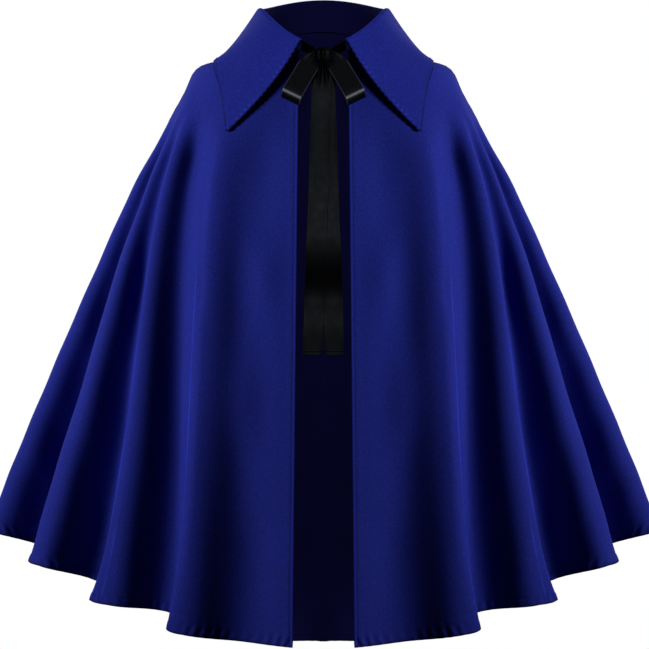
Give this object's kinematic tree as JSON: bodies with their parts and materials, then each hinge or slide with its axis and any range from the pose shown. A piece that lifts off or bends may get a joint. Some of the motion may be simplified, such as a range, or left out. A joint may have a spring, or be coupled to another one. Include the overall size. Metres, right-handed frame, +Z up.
{
  "type": "short cape",
  "caption": "Short flared cape, open down the front, with a long-pointed turned-down collar and a satin ribbon tied in a bow at the neck, in the form it has when worn.",
  "frame": {"origin": "middle of the neck opening, level with the neck seam at the side of the neck, where the wearer carries the cape", "axes": "+Z up, the open front faces -Y, +X is the wearer's left"},
  "size_m": [0.83, 0.5073, 0.8366],
  "materials": {
    "blue_cloth": "matt brushed twill, deep royal blue, darker on the reverse",
    "black_satin": "smooth satin ribbon with a soft sheen along its length"
  },
  "bodies": {
    "root": {"back": "blue_cloth", "front_left": "blue_cloth", "front_right": "blue_cloth", "collar": "blue_cloth", "tie_knot": "black_satin", "tie_loop_left": "black_satin", "tie_loop_right": "black_satin", "tie_tail_left": "black_satin", "tie_tail_right": "black_satin", "tie_lead_left": "black_satin", "tie_lead_right": "black_satin"}
  },
  "joints": []
}
